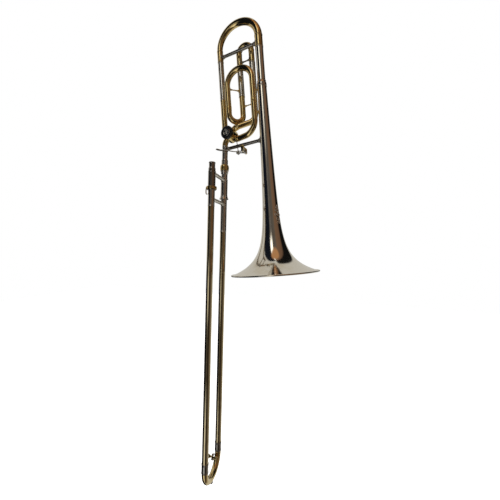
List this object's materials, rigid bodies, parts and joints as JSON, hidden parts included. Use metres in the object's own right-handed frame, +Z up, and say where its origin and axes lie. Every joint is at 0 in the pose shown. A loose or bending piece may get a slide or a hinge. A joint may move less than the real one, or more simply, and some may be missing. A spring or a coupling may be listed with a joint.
{
  "type": "trombone",
  "caption": "Tenor trombone with a rotary-valve attachment: hand slide, flared bell, thumb lever, tuning slides and water key.",
  "frame": {"origin": "centre of the mouthpiece receiver's mouth, on the axis of the mouthpiece-side slide tube", "axes": "+Z up the hand slide towards the player's mouth and out of the receiver, +Y from the mouthpiece-side slide tube to the bell-side one, +X roughly from the slide towards the bell"},
  "size_m": [0.2847, 0.214, 1.1934],
  "materials": {
    "nickel_silver": "polished nickel silver",
    "bell_metal": "polished, clear lacquer",
    "gold_brass": "polished, clear lacquer",
    "slide_brass": "clear lacquer, slightly worn",
    "bright_brass": "polished, clear lacquer",
    "plated_tube": "hard chrome on the sliding tubes",
    "black_cap": "gloss black",
    "rotor_metal": "satin, machined",
    "spring_steel": "bright wire",
    "bumper_rubber": "matt",
    "cork": "natural cork",
    "felt": "pressed felt"
  },
  "bodies": {
    "bell_section": {"mouthpiece_receiver": "nickel_silver", "leadpipe": "slide_brass", "left_cork_barrel": "nickel_silver", "right_cork_barrel": "nickel_silver", "slide_tenon": "nickel_silver", "upper_slide_brace": "nickel_silver", "inner_tube_left": "plated_tube", "inner_tube_right": "plated_tube", "cork_felts": "felt", "neck_receiver": "nickel_silver", "neck_pipe_lower": "nickel_silver", "neck_pipe_upper": "nickel_silver", "neck_sleeve": "nickel_silver", "rotor_casing": "bright_brass", "knuckles": "gold_brass", "rotor_bearing_plate": "rotor_metal", "rotor_cap": "black_cap", "cap_medallion": "nickel_silver", "stop_plate": "bright_brass", "stop_corks": "cork", "bell_sleeve": "nickel_silver", "bell_ferrule": "nickel_silver", "bell": "bell_metal", "rim_wire": "nickel_silver", "main_brace": "nickel_silver", "f_lower_branch": "gold_brass", "f_upper_crook": "gold_brass", "f_lower_crook": "gold_brass", "f_return_branch": "gold_brass", "f_slide_sleeves": "nickel_silver", "f_braces": "bright_brass", "lever_saddle": "bright_brass", "lever_pin": "nickel_silver", "lever_spring": "spring_steel"},
    "hand_slide": {"outer_tube_left": "slide_brass", "outer_tube_right": "slide_brass", "grip_sleeves": "nickel_silver", "lower_slide_brace": "nickel_silver", "lock_lug": "bright_brass", "bow_ferrules": "nickel_silver", "slide_bow": "gold_brass", "bow_bumper": "bumper_rubber", "water_key_saddle": "nickel_silver", "water_key_pin": "nickel_silver", "water_key_spring": "spring_steel"},
    "water_key": {"water_key_lever": "nickel_silver", "water_key_cork": "cork"},
    "lock_ring": {"slide_lock_ring": "bright_brass"},
    "slide_nut": {"slide_nut": "bright_brass"},
    "main_tuning_slide": {"main_tuning_legs": "plated_tube", "main_tuning_bow": "gold_brass", "main_tuning_brace": "nickel_silver"},
    "f_tuning_slide": {"f_slide_legs": "plated_tube", "f_slide_bow": "gold_brass", "f_slide_brace": "nickel_silver"},
    "rotor": {"rotor": "rotor_metal", "stop_arm": "nickel_silver", "stop_arm_screw": "nickel_silver"},
    "thumb_lever": {"thumb_lever": "nickel_silver"},
    "link_rod": {"link_rod": "nickel_silver"}
  },
  "joints": [
    {"name": "hand_slide_travel", "type": "slide", "parent": "bell_section", "child": "hand_slide", "axis": [0, 0, -1], "range_m": [0, 0.58]},
    {"name": "water_key_hinge", "type": "hinge", "parent": "hand_slide", "child": "water_key", "pos_m": [-0.0095, 0.06689, -0.75386], "axis": [0, -0.3746, -0.9272], "range_deg": [0, 25], "stiffness_Nm_per_rad": 0.02, "springref_deg": -34.38},
    {"name": "slide_lock_turn", "type": "hinge", "parent": "bell_section", "child": "lock_ring", "pos_m": [0, 0, -0.061], "axis": [0, 0, -1], "range_deg": [0, 45]},
    {"name": "slide_nut_turn", "type": "hinge", "parent": "bell_section", "child": "slide_nut", "pos_m": [0, 0.08, 0.0085], "axis": [0, 0, 1], "continuous": true},
    {"name": "main_tuning_travel", "type": "slide", "parent": "bell_section", "child": "main_tuning_slide", "axis": [-0.099, 0.0152, 0.995], "range_m": [0, 0.075]},
    {"name": "f_tuning_travel", "type": "slide", "parent": "bell_section", "child": "f_tuning_slide", "axis": [-0.099, 0.0152, 0.995], "range_m": [0, 0.065]},
    {"name": "thumb_lever_hinge", "type": "hinge", "parent": "bell_section", "child": "thumb_lever", "pos_m": [0.05299, 0.08201, 0.04938], "axis": [-0.1513, -0.9885, 0], "range_deg": [0, 22], "stiffness_Nm_per_rad": 0.15, "springref_deg": -28.65},
    {"name": "rotor_turn", "type": "hinge", "parent": "bell_section", "child": "rotor", "pos_m": [0.01483, 0.07773, 0.09439], "axis": [0.1513, 0.9885, 0], "range_deg": [0, 90.5]},
    {"name": "link_rod_pivot", "type": "hinge", "parent": "thumb_lever", "child": "link_rod", "pos_m": [0.03148, 0.09946, 0.05157], "axis": [-0.1513, -0.9885, 0], "range_deg": [-22.5, 0]}
  ],
  "couplings": [
    {"joint": "rotor_turn", "follows": "thumb_lever_hinge", "ratio": 4.0909},
    {"joint": "link_rod_pivot", "follows": "thumb_lever_hinge", "ratio": -1}
  ]
}
